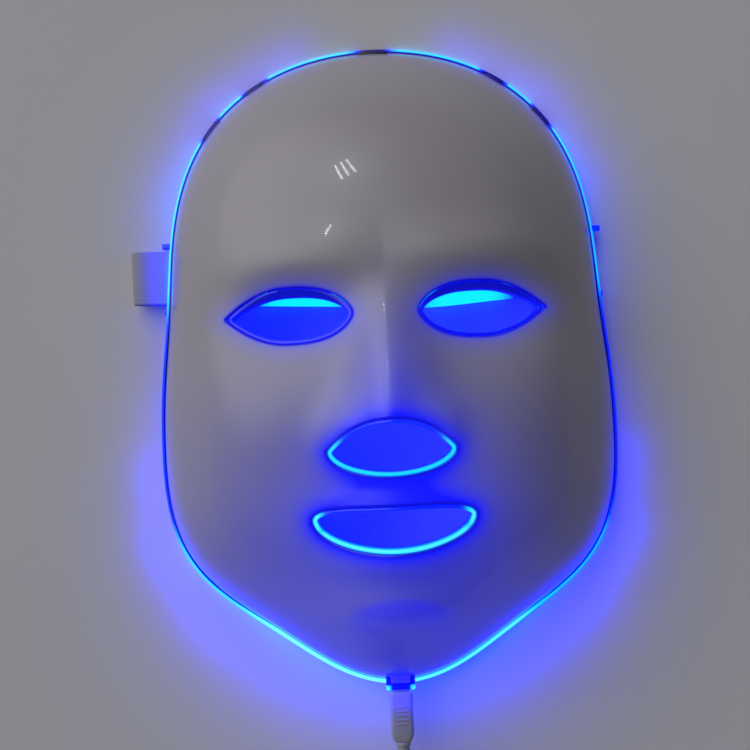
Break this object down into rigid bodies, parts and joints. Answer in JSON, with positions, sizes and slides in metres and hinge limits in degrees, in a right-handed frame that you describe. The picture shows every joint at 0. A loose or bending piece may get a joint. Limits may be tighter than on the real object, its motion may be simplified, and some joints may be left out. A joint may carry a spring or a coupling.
{
  "type": "led face mask",
  "caption": "Light therapy face mask: glossy white shell over a clear liner with blue light boards between, stretch strap, and a plug-in lead at the chin.",
  "frame": {"origin": "middle of the wearer's side of the mask, on the table under the face's middle plane", "axes": "+Z out of the face, +Y to the crown, +X to the right as the face is seen"},
  "size_m": [0.1813, 0.3517, 0.079],
  "materials": {
    "white_plastic": "high-gloss moulded white plastic that lets some of the blue light through",
    "clear_plastic": "clear polycarbonate, edges lit by the lights",
    "steel": "plated machine screws",
    "wire": "insulated wire",
    "circuit_board": "solder-masked board",
    "light_board": "white flexible board",
    "light": "lit blue light",
    "chip_black": "moulded black",
    "plated_metal": "nickel-plated sheet",
    "elastic_webbing": "woven white elastic",
    "hook_tape": "white hook tape",
    "loop_tape": "white loop tape",
    "lead_white": "satin soft white cable jacket",
    "tie_black": "soft black tie",
    "plug_insulator": "white insulator"
  },
  "bodies": {
    "mask": {"outer_shell": "white_plastic", "liner": "clear_plastic", "case_screws": "steel", "harness_left": "wire", "harness_right": "wire", "branches_left": "wire", "branches_right": "wire", "socket_wires": "wire", "chin_board": "circuit_board", "board_screws": "steel", "driver_chip": "chip_black", "regulators": "chip_black", "socket_shell": "plated_metal", "socket_tongue": "chip_black", "strap": "elastic_webbing", "hook_patch": "hook_tape", "loop_patch": "loop_tape", "board_crown": "light_board", "board_forehead": "light_board", "board_brow": "light_board", "board_nose": "light_board", "board_chin": "light_board", "board_left_temple": "light_board", "board_right_temple": "light_board", "board_left_cheek_upper": "light_board", "board_right_cheek_upper": "light_board", "board_left_cheek_lower": "light_board", "board_right_cheek_lower": "light_board", "board_left_jaw": "light_board", "board_right_jaw": "light_board", "board_left_chin_side": "light_board", "board_right_chin_side": "light_board", "lights_crown": "light", "lights_forehead": "light", "lights_brow": "light", "lights_nose": "light", "lights_chin": "light", "lights_left_temple": "light", "lights_right_temple": "light", "lights_left_cheek_upper": "light", "lights_right_cheek_upper": "light", "lights_left_cheek_lower": "light", "lights_right_cheek_lower": "light", "lights_left_jaw": "light", "lights_right_jaw": "light", "lights_left_chin_side": "light", "lights_right_chin_side": "light"},
    "cable": {"plug_tip": "plated_metal", "plug_core": "chip_black", "plug_grip": "lead_white", "plug_relief": "lead_white", "lead": "lead_white", "lead_coil": "lead_white", "coil_tie": "tie_black", "lead_tail": "lead_white", "far_relief": "lead_white", "far_grip": "lead_white", "far_shell": "plated_metal", "far_core": "plug_insulator"}
  },
  "joints": [
    {"name": "plug_pull", "type": "slide", "parent": "mask", "child": "cable", "axis": [0, -1, 0], "range_m": [0, 0.008]}
  ]
}
